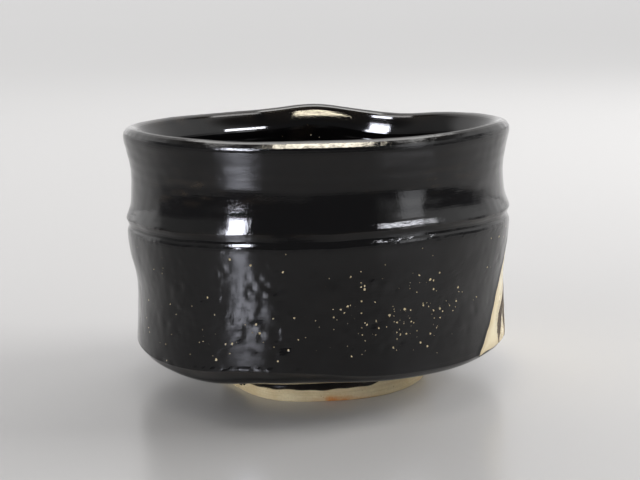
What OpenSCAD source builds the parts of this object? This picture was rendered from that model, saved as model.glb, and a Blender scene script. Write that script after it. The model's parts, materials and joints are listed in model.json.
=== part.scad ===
// A black tea bowl of the Oribe kind: a thrown stoneware bowl on a low foot ring, glazed black inside and
// out, with a cream window on its right side that carries a few iron brush strokes.
// Sizes are in millimetres and degrees. +Z is up, the front faces -Y and +X is to its right.
// The table is at z = 0 and the origin is on it, under the middle of the bowl.

/* [Lip] */
// Mean height of the lip above the table
rim_h = 80.9; // [78:0.1:86]
// Mean outer radius of the lip
lip_r = 59.7; // [58:0.1:63]
// Thickness of the rounded lip, glaze included
lip_t = 4.8; // [4:0.1:6]
// How far the lip rises towards the front and falls towards the back of its mean height
rim_tilt = 0.9; // [0:0.1:1.5]
// Height of the hump in the lip at the middle of the back
hump_h = 1.6; // [0:0.1:3]
// Depth of the dip in the lip at the back right
dip_h = 1.6; // [0:0.1:3]
// Half of the difference between the lip's radii from side to side and from front to back
oval = 0.8; // [0:0.1:1.5]

/* [Wall] */
// Radius at the waist, between the lip and the ridge
waist_r = 57.8; // [56:0.1:60]
// Height of the waist
waist_h = 67.5; // [66:0.5:69]
// Radius of the ridge that runs round the wall
ridge_r = 60.3; // [59.5:0.1:63]
// Mean height of the ridge
ridge_h = 51.8; // [49:0.1:54]
// How far the ridge rises towards the front and falls towards the back of its mean height
ridge_rise = 2.4; // [0:0.1:3]
// Depth of the step under the ridge
step_d = 0.4; // [0.2:0.1:1]
// Radius in the shallow hollow low on the wall
hollow_r = 58.5; // [57:0.1:60]
// Radius of the corner where the wall turns under
corner_r = 59.4; // [58:0.1:61]
// Height of that corner
corner_h = 13.3; // [12.5:0.1:15]
// Depth of the soft waves that the fingers left round the wall
wave_d = 0.25; // [0:0.05:0.5]

/* [Foot] */
// Outer radius of the foot ring
foot_r = 32.8; // [31:0.1:35]
// Height of the foot ring
foot_h = 6.4; // [6:0.1:7]
// Width of the flat that the bowl rests on
foot_w = 6; // [4:0.5:8]
// How far the foot ring sits off the middle, to the right
foot_x = 1.0; // [-2:0.1:2]
// How far the foot ring sits off the middle, to the back
foot_y = -2.2; // [-3:0.1:3]

/* [Inside] */
// Wall thickness at the waist, glaze included
wall_t = 5.0; // [4.4:0.1:5.6]
// Height of the floor of the bowl, glaze included
floor_h = 12.0; // [11.6:0.1:13]
// Radius of the shallow pool in the middle of the floor
pool_r = 24; // [20:0.5:28]
// Depth of the pool
pool_d = 1.2; // [0.5:0.1:1.5]

/* [Glaze] */
// Thickness of the glaze coats
glaze_t = 0.8; // [0.6:0.05:1]
// Height at which the black glaze ends on the foot
skirt_h = 3.8; // [3.2:0.1:4.4]

/* [Window] */
// Direction of the window's left edge at its middle height
window_left = -20; // [-26:1:-15]
// Direction of the window's right edge at its middle height
window_right = 49; // [43:1:55]
// How far the left edge leans, in degrees from its middle height to its top
left_lean = 15; // [5:1:16]
// How far the right edge leans the other way
right_lean = 9; // [5:1:12]

/* [Hidden] */

clay = "#c9bd97";
black = "#131417";
cream = "#ece2bf";
iron = "#5b4f42";

// ---- Columns round the bowl -------------------------------------------------------------------------
// The clay and every coat are cut from one grid of columns round the bowl and rows along its outline, so
// that coats which touch share their faces.

// Brush strokes: [column, first row, last row], counted from the window's left edge and from the corner.
strokes = [[1, 1, 5], [3, 2, 9], [6, 0, 4], [9, 3, 9], [12, 1, 7]];
window_cols = 14;
round_cols = 46;
cols = window_cols + round_cols;

// A column that carries a stroke is half as wide as the others in the window.
function strokes_before(j) = len([for (s = strokes) if (s[0] < j) 1]);
half_col = (window_right - window_left) / (2 * window_cols - len(strokes));
function column(j) =
    j <= window_cols ? window_left + half_col * (2 * j - strokes_before(j))
                     : window_right + (360 - window_right + window_left) * (j - window_cols) / round_cols;

// Columns at the window's edges lean as the edges do. Away from it they straighten up over this angle.
lean_reach = 60;
function ease(t) = let (u = min(1, max(0, t))) u * u * (3 - 2 * u);
function lean(j) =
    let (a = column(j), across = (a - window_left) / (window_right - window_left))
    j <= window_cols ? left_lean * (1 - across) - right_lean * across
                     : left_lean * ease(1 - (window_left + 360 - a) / lean_reach)
                       - right_lean * ease(1 - (a - window_right) / lean_reach);

// ---- How the bowl departs from a true circle ----------------------------------------------------------

function turn(a) = a - 360 * round(a / 360);
// A soft bump of height 1 in direction at, about w degrees to each side.
function bump(a, at, w) = exp(-pow(turn(a - at) / w, 2));

function rim_z(a) =
    rim_h + rim_tilt * cos(a + 80) + hump_h * bump(a, 91, 13) - dip_h * bump(a, 60, 17)
    + 1.2 * bump(a, -26, 26) + 0.8 * bump(a, -155, 24);
function ridge_z(a) = ridge_h + ridge_rise * cos(a + 66) + 0.5 * bump(a, -54, 12);
function corner_z(a) = corner_h + 2.1 * bump(a, -97, 20) - 0.3 * bump(a, -140, 20);

// How far the outline stands off its mean radius, at a share of the height from 0 (corner) to 1 (lip). The
// wall's left side bulges a little at the ridge.
function uneven(a, up) =
    oval * up * cos(2 * a) + 2 * up * (1 - up) * bump(a, -172, 40)
    + wave_d * (sin(3 * a + 50 + 80 * up) + 0.6 * sin(5 * a + 20 - 60 * up));

// ---- The glazed outline ---------------------------------------------------------------------------------
// A knot is [radius, height, share of the foot's offset, lean of the columns]. The lean runs from -1 at the
// corner to 1 at the window's top.

function outer_knots(a) =
    let (zr = rim_z(a), zs = ridge_z(a), zc = corner_z(a), low = uneven(a, 0), mid = uneven(a, 0.5),
         neck = uneven(a, 0.9), top = uneven(a, 1), per_mm = 2 / (zs - 2.8 - zc))
    [[foot_r + 0.8 * glaze_t, skirt_h, 1, 0],
     [foot_r + glaze_t + 0.2, foot_h - 0.5, 1, 0],
     [foot_r + 3, foot_h + 1.2, 1, -0.1],
     [foot_r + 12, foot_h + 3.4, 0.6, -0.4],
     [corner_r - 3.6 + low, zc - 2, 0.1, -0.9],
     [corner_r + low, zc + 0.4, 0, -1],
     [corner_r - 0.5 + low, zc + 4, 0, -1 + 4 * per_mm],
     [hollow_r + low, zc + 11, 0, -1 + 11 * per_mm],
     [hollow_r + 0.2 + low, zc + 20, 0, -1 + 20 * per_mm],
     [ridge_r - step_d - 0.6 + mid, zs - 9.5, 0, 1 - 6.7 * per_mm],
     [ridge_r - step_d + mid, zs - 2.8, 0, 1],
     [ridge_r - step_d + 0.1 + mid, zs - 1.5, 0, 1],
     [ridge_r - 0.1 + mid, zs - 0.3, 0, 0.95],
     [ridge_r - 0.2 + mid, zs + 2, 0, 0.85],
     [ridge_r - 1.6 + mid, zs + 7, 0, 0.6],
     [waist_r + neck, waist_h, 0, 0.3],
     [waist_r + 0.9 + top, zr - 7.6, 0, 0.1],
     [lip_r - 0.15 + top, zr - 3.6, 0, 0],
     [lip_r - 0.15 + top, zr - 1.7, 0, 0],
     [lip_r - 0.9 + top, zr - 0.5, 0, 0],
     [lip_r - lip_t / 2 + top, zr, 0, 0]];

function inner_knots(a) =
    let (zr = rim_z(a), low = uneven(a, 0), mid = uneven(a, 0.5), top = uneven(a, 1))
    [[lip_r - lip_t + 0.7 + top, zr - 0.7, 0, 0],
     [lip_r - lip_t - 0.1 + top, zr - 2.6, 0, 0],
     [lip_r - lip_t - 1 + top, zr - 7, 0, 0],
     [waist_r - wall_t + top, waist_h, 0, 0],
     [waist_r - wall_t + 0.9 + mid, ridge_h, 0, 0],
     [hollow_r - wall_t - 0.2 + low, 32, 0, 0],
     [hollow_r - wall_t - 2.8 + low, floor_h + 9, 0, 0],
     [hollow_r - wall_t - 9, floor_h + 2.4, 0, 0],
     [pool_r + 9, floor_h, 0, 0],
     [pool_r, floor_h - 0.2, 0, 0],
     [pool_r - 4, floor_h - pool_d, 0, 0],
     [2, floor_h - pool_d - 0.3, 0, 0]];

// A smooth curve through four knots, from q to r as t goes from 0 to 1.
function curve(p, q, r, s, t) =
    0.5 * (2 * q + (r - p) * t + (2 * p - 5 * q + 4 * r - s) * t * t + (3 * q - p - 3 * r + s) * pow(t, 3));

per_knot = 2; // rows from one knot to the next
foot_row = per_knot; // where the wall meets the foot ring
corner_row = 5 * per_knot;
window_row = 10 * per_knot; // the window's top
crest_row = 20 * per_knot;
join_row = crest_row + 3 * per_knot; // where the inside coat begins, a little below the lip

function outline(a) = concat(outer_knots(a), inner_knots(a));
last_row = per_knot * (len(outline(0)) - 1);
function on_row(knots, i) =
    let (n = min(floor(i / per_knot), len(knots) - 2))
    curve(knots[max(0, n - 1)], knots[n], knots[n + 1], knots[min(len(knots) - 1, n + 2)], i / per_knot - n);

// How far the columns lean on each row. It hardly depends on the direction, so the front serves for all.
front = outline(-90);
function direction(i, j) = column(j) + lean(j) * on_row(front, i)[3];
outline_grid = [for (j = [0 : cols - 1]) [for (i = [0 : last_row])
    on_row(outline(direction(i, j)), i)]];

// The clay lies under the coat, square to the outline. Its round foot stands just inside the coat's skirt.
skirt_r = foot_r / cos(180 / round_cols) + 0.02;
function under(i, j) =
    let (g = outline_grid[j], k = g[i], d = g[min(last_row, i + 1)] - g[max(0, i - 1)], s = norm([d[0], d[1]]))
    i <= foot_row ? [skirt_r, i == foot_row ? foot_h : k[1], 1]
                  : [k[0] - glaze_t * d[1] / s, max(foot_h, k[1] + glaze_t * d[0] / s), k[2]];

function place(k, a) = [foot_x * k[2] + k[0] * cos(a), foot_y * k[2] + k[0] * sin(a), k[1]];
glaze_face = [for (j = [0 : cols - 1]) [for (i = [0 : last_row]) place(outline_grid[j][i], direction(i, j))]];
clay_face = [for (j = [0 : cols - 1]) [for (i = [0 : last_row]) place(under(i, j), direction(i, j))]];

// ---- Solids -----------------------------------------------------------------------------------------------

// Points of a face from row first to row end, and the two triangles of one of its cells, seen from outside.
function points_of(face, first, end) = [for (i = [first : end]) for (j = [0 : cols - 1]) face[j][i]];
function cell(a, b, c, d) = [[a, d, c], [a, c, b]];
// The middle of a face, for closing it with a fan.
function middle(face, i) = [0, 0, face[0][i][2]];

// A coat over the cells from row first up to row end that are marked in covered[row - first][column]. A
// wall closes it wherever the next cell isn't covered.
module coat(first, end, covered) {
    depth = (end - first + 1) * cols;
    function at(i, j) = (i - first) * cols + j % cols;
    function has(i, j) = i >= first && i < end && covered[i - first][(j + cols) % cols];
    polyhedron(
        concat(points_of(glaze_face, first, end), points_of(clay_face, first, end)),
        [for (i = [first : end - 1]) for (j = [0 : cols - 1]) if (has(i, j)) each
            let (a = at(i, j), b = at(i, j + 1), c = at(i + 1, j + 1), d = at(i + 1, j))
            concat(
                cell(a, b, c, d),
                [[a + depth, c + depth, d + depth], [a + depth, b + depth, c + depth]],
                has(i - 1, j) ? [] : cell(b, a, a + depth, b + depth),
                has(i + 1, j) ? [] : cell(d, c, c + depth, d + depth),
                has(i, j - 1) ? [] : cell(a, d, d + depth, a + depth),
                has(i, j + 1) ? [] : cell(c, b, b + depth, c + depth))]);
}

function in_window(i, j) = i >= corner_row && i < window_row && j < window_cols;
function in_stroke(i, j) =
    len([for (s = strokes) if (j == s[0] && i - corner_row >= s[1] && i - corner_row <= s[2]) 1]) > 0;

module clay_body() {
    top = (last_row - foot_row + 1) * cols; // index of the floor's middle point, the foot's comes next
    function at(i, j) = (i - foot_row) * cols + j % cols;
    color(clay) polyhedron(
        concat(points_of(clay_face, foot_row, last_row), [middle(clay_face, last_row), [foot_x, foot_y, foot_h]]),
        concat(
            [for (i = [foot_row : last_row - 1]) for (j = [0 : cols - 1]) each
                cell(at(i, j), at(i, j + 1), at(i + 1, j + 1), at(i + 1, j))],
            [for (j = [0 : cols - 1]) [at(last_row, j), top, at(last_row, j + 1)]],
            [for (j = [0 : cols - 1]) [at(foot_row, j + 1), top + 1, at(foot_row, j)]]));
}

module foot_ring() {
    worn = 0.7; // how much of the outer edge is rubbed off
    inner_r = foot_r - foot_w - 2 * worn;
    color(clay) translate([foot_x, foot_y, 0]) rotate_extrude($fn = 96) polygon([
        [inner_r, foot_h], [inner_r, worn], [inner_r + worn, 0],
        [foot_r - worn, 0], [foot_r, worn], [foot_r, foot_h]]);
}

module black_glaze_outside() {
    color(black) coat(0, join_row,
        [for (i = [0 : join_row - 1]) [for (j = [0 : cols - 1]) !in_window(i, j)]]);
}

module black_glaze_inside() {
    top = (last_row - join_row + 1) * cols; // index of the middle point
    depth = top + 1;
    function at(i, j) = (i - join_row) * cols + j % cols;
    color(black) polyhedron(
        concat(points_of(glaze_face, join_row, last_row), [middle(glaze_face, last_row)],
               points_of(clay_face, join_row, last_row), [middle(clay_face, last_row)]),
        concat(
            [for (i = [join_row : last_row - 1]) for (j = [0 : cols - 1]) each
                let (a = at(i, j), b = at(i, j + 1), c = at(i + 1, j + 1), d = at(i + 1, j))
                concat(cell(a, b, c, d), [[a + depth, c + depth, d + depth], [a + depth, b + depth, c + depth]])],
            [for (j = [0 : cols - 1]) each let (a = at(last_row, j), b = at(last_row, j + 1))
                [[a, top, b], [a + depth, b + depth, top + depth]]],
            [for (j = [0 : cols - 1]) each let (a = at(join_row, j), b = at(join_row, j + 1))
                cell(b, a, a + depth, b + depth)]));
}

module cream_glaze_window() {
    color(cream) coat(corner_row, window_row, [for (i = [corner_row : window_row - 1])
        [for (j = [0 : cols - 1]) in_window(i, j) && !in_stroke(i, j)]]);
}

module iron_brushwork() {
    color(iron) coat(corner_row, window_row, [for (i = [corner_row : window_row - 1])
        [for (j = [0 : cols - 1]) in_stroke(i, j)]]);
}

// Drops that ran on below the coat's edge: [direction, height, radius].
drops = [[-149, 2.3, 0.9], [-144.5, 2, 1], [-140.5, 2.5, 0.8]];

// A drop with a flat back, bulging by about half of its radius.
module drop(r) {
    bulge = 0.55 * r;
    round_r = (r * r + bulge * bulge) / (2 * bulge);
    rotate([0, 90, 0]) intersection() {
        translate([0, 0, bulge - round_r]) sphere(round_r, $fn = 32);
        cylinder(r = 2 * r, h = r, $fn = 32);
    }
}

module glaze_drops_on_foot() {
    color(black) translate([foot_x, foot_y, 0])
        for (d = drops) rotate(d[0]) translate([foot_r, 0, d[1]]) drop(d[2]);
}

clay_body();
foot_ring();
black_glaze_outside();
black_glaze_inside();
cream_glaze_window();
iron_brushwork();
glaze_drops_on_foot();
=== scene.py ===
# %% [markdown]
# # A black tea bowl with a cream window
# The bowl is one fired pot made of layers: a thrown clay body, a foot ring luted under it, glossy black
# glaze outside and inside, a cream glazed window on its right side, and a few iron brush strokes in the
# window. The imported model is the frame. It gives the size and place of every layer, and each cell below
# builds a finer piece that stands for one of them.

# %% Load the frame
import json
import math

import bpy
import numpy as np
from mathutils import Matrix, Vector
from mathutils.kdtree import KDTree

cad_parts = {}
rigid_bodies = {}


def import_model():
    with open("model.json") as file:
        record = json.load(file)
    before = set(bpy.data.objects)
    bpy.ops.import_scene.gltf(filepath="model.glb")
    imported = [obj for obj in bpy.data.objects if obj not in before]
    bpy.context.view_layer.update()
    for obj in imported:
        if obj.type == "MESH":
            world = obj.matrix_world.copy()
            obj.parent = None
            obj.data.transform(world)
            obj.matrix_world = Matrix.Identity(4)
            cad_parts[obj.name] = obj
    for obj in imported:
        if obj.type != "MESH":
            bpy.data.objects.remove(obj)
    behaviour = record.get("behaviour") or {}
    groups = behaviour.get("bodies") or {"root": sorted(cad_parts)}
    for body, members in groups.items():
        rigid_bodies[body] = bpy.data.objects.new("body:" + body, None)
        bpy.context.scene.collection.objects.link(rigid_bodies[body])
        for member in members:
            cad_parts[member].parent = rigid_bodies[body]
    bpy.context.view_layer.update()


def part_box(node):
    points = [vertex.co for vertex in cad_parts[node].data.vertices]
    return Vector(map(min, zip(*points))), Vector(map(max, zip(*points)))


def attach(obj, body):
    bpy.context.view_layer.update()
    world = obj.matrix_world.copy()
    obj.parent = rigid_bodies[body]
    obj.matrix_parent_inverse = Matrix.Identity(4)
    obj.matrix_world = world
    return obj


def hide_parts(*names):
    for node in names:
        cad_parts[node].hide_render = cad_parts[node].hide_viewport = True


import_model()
MM = 0.001

# %% [markdown]
# ## Camera
# A bowl is usually shown from the front and a little above its lip, through a longish lens, so that the
# far lip and a little of the inside show. The camera stands 450 mm in front of the bowl's middle and
# 129 mm above the table, looks down by 10.8 degrees and is rolled by a degree, as one held by hand is.

# %% Make the camera
camera = bpy.data.objects.new("camera", bpy.data.cameras.new("camera"))
bpy.context.scene.collection.objects.link(camera)
bpy.context.scene.camera = camera
camera.data.sensor_width = 36
camera.data.lens = 80.2
camera.data.clip_start = 0.01
camera.data.clip_end = 60
CAMERA_PLACE = np.array([0.4, -450, 129]) * MM
look_down, roll = math.radians(10.8), math.radians(0.93)
camera.location = CAMERA_PLACE
camera.rotation_mode = "XYZ"
forward = np.array([0, math.cos(look_down), -math.sin(look_down)])
level_right = np.array([1.0, 0, 0])
level_up = np.cross(level_right, forward)
right = math.cos(roll) * level_right - math.sin(roll) * level_up
up = math.sin(roll) * level_right + math.cos(roll) * level_up
camera.rotation_euler = Matrix([[right[i], up[i], -forward[i]] for i in range(3)]).to_euler()
print("camera looks along", forward.round(3))

# %% [markdown]
# ## The driving sizes
# The foot and the height of the lip are read from the frame's boxes. The other radii and heights are the
# ones that the frame was thrown to, in millimetres: lip, waist, ridge, hollow and corner, from the top
# down, and then the inside.

# %% Read and set the sizes
def box_mm(node):
    low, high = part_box(node)
    return np.array(low) / MM, np.array(high) / MM


foot_low, foot_high = box_mm("foot_ring")
foot_x, foot_y = (foot_low[:2] + foot_high[:2]) / 2
foot_r = (foot_high[0] - foot_low[0]) / 2
foot_h = foot_high[2]
lip_top = box_mm("black_glaze_outside")[1][2]
lip_h, lip_r, lip_t = lip_top - 1.7, 59.7, 4.8
waist_h, waist_r = 67.5, 57.8
ridge_h, ridge_r, step_d = 51.8, 60.3, 0.4
hollow_r, corner_r, corner_h = 58.5, 59.4, 13.3
wall_t, floor_h, pool_r, pool_d = 5.0, 12.0, 24.0, 1.2
skirt_h, glaze_t = 3.8, 0.8
window_left, window_right, left_lean, right_lean = -20, 49, 15, 9
print(f"foot {foot_r:.2f} at {foot_x:.2f}, {foot_y:.2f}, {foot_h:.2f} high; lip at {lip_h:.1f}")

# %% [markdown]
# ## How a hand-thrown bowl departs from round
# A tea bowl is thrown round and then coaxed out of round. Each height and radius is a mean plus soft bumps
# in named directions, given in degrees with -90 at the front and 0 at the right. The functions take whole
# arrays of directions, because numpy then places all the points of a coat at once.

# %% Bumps, hills and waves
def bump(a, at, w):
    """A soft bump of height 1 in direction at, about w degrees to each side."""
    off = a - at
    return np.exp(-(((off - 360 * np.round(off / 360)) / w) ** 2))


def hill(x, at, wide):
    """A soft hill of height 1 where x is at, about that wide to each side."""
    return np.exp(-(((x - at) / wide) ** 2))


def ease(x):
    u = np.clip(x, 0, 1)
    return u * u * (3 - 2 * u)


def between(x, first, end, soft):
    """1 where x lies between first and end, with soft borders that wide."""
    return ease((x - first) / soft + 0.5) * ease((end - x) / soft + 0.5)


def wave(a, turns, shift):
    return np.sin(np.radians(turns * a + shift))


def rim_z(a):
    humps = 1.6 * bump(a, 91, 13) - 1.6 * bump(a, 60, 17) + 1.2 * bump(a, -26, 26) + 0.8 * bump(a, -155, 24)
    return lip_h + 0.9 * wave(a, 1, 170) + humps


def ridge_z(a):
    ripples = 0.12 * wave(a, 9, 20) + 0.08 * wave(a, 23, 70)
    return ridge_h + 2.4 * wave(a, 1, 156) + 0.5 * bump(a, -54, 12) + ripples


def corner_z(a):
    lifted = 2.1 * bump(a, -97, 20) + 0.9 * bump(a, -112, 9)
    return corner_h + lifted - 0.3 * bump(a, -145, 16) + 0.12 * wave(a, 11, 40)


def foot_out(a):
    """The trimmed foot's outer radius, which bulges at the front left."""
    return foot_r + 1.7 * bump(a, -114, 18) - 0.9 * bump(a, -150, 16) + 0.12 * wave(a, 5, 30)


def uneven(a, up):
    waves = 0.25 * (wave(a, 3, 50 + 80 * up) + 0.6 * wave(a, 5, 20 - 60 * up))
    pushed_out = 2 * up * (1 - up) * bump(a, -172, 40) + 0.8 * up**6 * bump(a, 178, 30)
    return 0.8 * up * np.cos(np.radians(2 * a)) + pushed_out + waves


print("lip is", rim_z(np.arange(-180, 180, 30.0)).round(1), "mm high, every 30 degrees")

# %% [markdown]
# ## The glazed outline
# The bowl's section is a smooth curve through knots: up the foot, out along the underside, round the
# corner, up the wall, over the ridge and the lip and down inside. A curve through knots is easier to steer
# than stacked rings, and it keeps to the frame's line to a millimetre or two. The ridge has knots of its
# own for the small ledge where the lower wall ends, the groove over it, the crest and the bead above. Three
# names share out what happens at the front: the ridge has faded where it was pressed in, the underside
# is sagging at the left, and elsewhere the bead stands proud.

# %% Knots of the outline
CORNER, LEDGE, GROOVE, RIDGE, WAIST, CREST, JOIN = 6, 12, 13, 14, 18, 25, 29


def outline_knots(a):
    """Radius, height, share of the foot's offset and lean of the columns, for each knot."""
    rim, ridge, corner, foot = rim_z(a), ridge_z(a), corner_z(a), foot_out(a)
    low, mid, neck, top = (uneven(a, up) for up in (0, 0.5, 0.9, 1))
    per_mm = 2 / (ridge - 2.8 - corner)
    neck_r = waist_r - wall_t
    faded = bump(a, -96, 17)
    sagging = bump(a, -118, 30)
    proud = 1 - faded - 0.35 * bump(a, 75, 40) + 0.12 * wave(a, 7, 0)
    knots = [
        (foot + 0.5, 0.9, 1, 0),
        (foot + 0.64, skirt_h, 1, 0),
        (foot + 1, foot_h - 0.5, 1, 0),
        (foot + 3, foot_h + 1.2, 1, -0.1),
        (foot_r + 12, foot_h + 3.4 - 1.6 * sagging, 0.6, -0.4),
        (corner_r - 3.6 - 0.6 * sagging + low, corner - 2 - 2.2 * sagging, 0.1, -0.9),
        (corner_r - 0.35 + low, corner - 0.1, 0, -1),
        (corner_r + low, corner + 1.1, 0, -1),
        (corner_r - 0.15 + low, corner + 4.4, 0, -1 + 4.4 * per_mm),
        (hollow_r + 0.35 + low, corner + 11, 0, -1 + 11 * per_mm),
        (hollow_r + 0.2 + low, corner + 20, 0, -1 + 20 * per_mm),
        (ridge_r - step_d - 0.6 + mid, ridge - 9.5, 0, 1 - 6.7 * per_mm),
        (ridge_r - 0.32 + mid, ridge - 2.8, 0, 1),
        (ridge_r - 0.58 - 0.3 * proud - 0.15 * faded + mid, ridge - 0.2, 0, 0.97),
        (ridge_r - 0.8 + 0.75 * proud - 0.25 * faded + mid, ridge + 1.9, 0, 0.9),
        (ridge_r - 0.98 + 0.7 * proud - 0.3 * faded + mid, ridge + 2.7, 0, 0.85),
        (ridge_r - 1.38 + 0.4 * proud - 0.2 * faded + mid, ridge + 4.4, 0, 0.75),
        (ridge_r - 1.75 - 0.5 * faded + mid, ridge + 7.4, 0, 0.6),
        (waist_r + neck, waist_h, 0, 0.3),
        (waist_r + 0.9 + top, rim - 7.6, 0, 0.1),
        (lip_r - 0.15 + top, rim - 3.8, 0, 0),
        (lip_r - 0.17 + top, rim - 2, 0, 0),
        (lip_r - 0.5 + top, rim - 1.4, 0, 0),
        (lip_r - 0.92 + top, rim - 0.75, 0, 0),
        (lip_r - 1.5 + top, rim - 0.22, 0, 0),
        (lip_r - lip_t / 2 + top, rim, 0, 0),
        (lip_r - lip_t + 0.7 + top, rim - 0.7, 0, 0),
        (lip_r - lip_t - 0.15 + top, rim - 2.2, 0, 0),
        (lip_r - lip_t - 1.65 + top, rim - 5.2, 0, 0),
        (neck_r - 0.05 + top, rim - 6.9, 0, 0),
        (neck_r - 0.1 + top, rim - 9, 0, 0),
        (neck_r + top, waist_h, 0, 0),
        (neck_r + 0.9 + mid, ridge_h, 0, 0),
        (hollow_r - wall_t - 0.2 + low, 32, 0, 0),
        (hollow_r - wall_t - 2.8 + low, floor_h + 9, 0, 0),
        (hollow_r - wall_t - 9, floor_h + 2.4, 0, 0),
        (pool_r + 9, floor_h, 0, 0),
        (pool_r, floor_h - 0.2, 0, 0),
        (pool_r - 4, floor_h - pool_d, 0, 0),
        (2, floor_h - pool_d - 0.3, 0, 0),
    ]
    return np.array([[np.broadcast_to(v, a.shape) for v in knot] for knot in knots], float)


def follow(knots, t):
    """Values at t along smooth curves through the knots. t counts knots, and has the shape of one value."""
    last = len(knots) - 1
    n = np.clip(np.floor(t).astype(int), 0, last - 1)
    u = (t - n)[None]
    p, q, r, s = (np.take_along_axis(knots, np.clip(n + k, 0, last)[None, None], 0)[0] for k in (-1, 0, 1, 2))
    return 0.5 * (2 * q + (r - p) * u + (2 * p - 5 * q + 4 * r - s) * u**2 + (3 * q - p - 3 * r + s) * u**3)


LAST = len(outline_knots(np.zeros(1))) - 1
TABLE_POINTS = 3301
t_table = np.linspace(0, LAST, TABLE_POINTS)
front_line = follow(np.repeat(outline_knots(np.array([-90.0])), TABLE_POINTS, 2), t_table)
length_table = np.concatenate([[0], np.cumsum(np.hypot(*np.diff(front_line[:2])))])


def length_to(t):
    return np.interp(t, t_table, length_table)


def row_at(length):
    return np.interp(length, length_table, t_table)


print(f"the section is {length_table[-1]:.0f} mm long; the corner is at {length_to(CORNER):.0f} mm")

# %% [markdown]
# ## Columns round the bowl
# The window's edges lean as a poured glaze line does: the left one to the right going up, the right one to
# the left. So that the coats meet along those edges, the columns of the grid lean with them there, and
# straighten up away from the window.

# %% Columns, points and normals
COLUMNS, WINDOW_COLUMNS = 500, 100


def column_angle(j):
    inside = window_left + (window_right - window_left) * j / WINDOW_COLUMNS
    share_back = (j - WINDOW_COLUMNS) / (COLUMNS - WINDOW_COLUMNS)
    round_back = window_right + (360 - window_right + window_left) * share_back
    return np.where(j <= WINDOW_COLUMNS, inside, round_back)


def column_lean(column):
    """How far a column leans, in degrees from the window's middle height to its top."""
    a = (column - window_left) % 360 + window_left
    across = (a - window_left) / (window_right - window_left)
    from_left = left_lean * ease(1 - (window_left + 360 - a) / 60)
    from_right = right_lean * ease(1 - (a - window_right) / 60)
    return np.where(across <= 1, left_lean * (1 - across) - right_lean * across, from_left - from_right)


def turn(r, a, z, share=1):
    """Points at radius r, direction a in degrees and height z, set off with the foot by that share."""
    angle = np.radians(a)
    place = foot_x * share + r * np.cos(angle), foot_y * share + r * np.sin(angle)
    return np.stack([*place, z + 0 * angle], -1)


def surface(t, column):
    """Points in millimetres on the glazed outline, and their directions, for arrays of rows and columns."""
    a = column + column_lean(column) * np.interp(t, t_table, front_line[3])
    r, z, share, _ = follow(outline_knots(a), t)
    return turn(r, a, z, share), a


def normals(grid, closed=True):
    """Unit normals of a grid of rows and columns, pointing to the side where columns run to the right."""
    across = np.roll(grid, -1, 1) - np.roll(grid, 1, 1) if closed else np.gradient(grid, axis=1)
    n = np.cross(across, np.gradient(grid, axis=0))
    return n / np.maximum(np.linalg.norm(n, axis=-1, keepdims=True), 1e-9)


# %% [markdown]
# ## What the hands and the kiln left
# Fingers leave soft hollows, the throwing leaves faint rings, and the glaze on the lower wall crawled a
# little into pebbly dents. A sum of plane waves in random directions gives soft noise that has no seam
# round the bowl. Each dent is one small bell-shaped hollow.

# %% Soft noise and dents
def soft_noise(points, size, seed, waves=22):
    """Smooth noise of about -1 to 1, with lumps of about that size in millimetres."""
    random = np.random.default_rng(seed)
    heading = random.normal(size=(waves, 3))
    heading /= np.linalg.norm(heading, axis=1, keepdims=True)
    heading *= math.pi / size * random.uniform(0.6, 1.5, (waves, 1))
    shift = random.uniform(0, 2 * math.pi, waves)
    total = sum(np.cos(points @ heading[k] + shift[k]) for k in range(waves))
    return total / math.sqrt(waves)


def dents(points, centres, widths, depths):
    """Depth of many small bell-shaped hollows at the points of a grid."""
    flat = points.reshape(-1, 3)
    tree = KDTree(len(flat))
    for i, p in enumerate(flat):
        tree.insert(p, i)
    tree.balance()
    depth = np.zeros(len(flat))
    for centre, width, deep in zip(centres, widths, depths):
        for _, i, distance in tree.find_range(centre, 2.2 * width):
            depth[i] += deep * math.exp(-((distance / width) ** 2))
    return depth.reshape(points.shape[:2])


def scatter(seed, count, a_range, z_range, radius=59.0):
    """Random places on the wall."""
    random = np.random.default_rng(seed)
    a = np.radians(random.uniform(*a_range, count))
    return np.stack([radius * np.cos(a), radius * np.sin(a), random.uniform(*z_range, count)], 1), random


# %% [markdown]
# ## From grids to closed pieces
# A coat of glaze is thin, but on the model it is a real closed shell: a fine outer face, a coarse inner
# face against the clay, and walls where the coat ends. The inner face is never seen, so every fifth row
# and column is enough, and the walls are polygons that join five fine cells to one coarse one.

# %% Closed shells, slabs and turned pieces
STEP = 5


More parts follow.
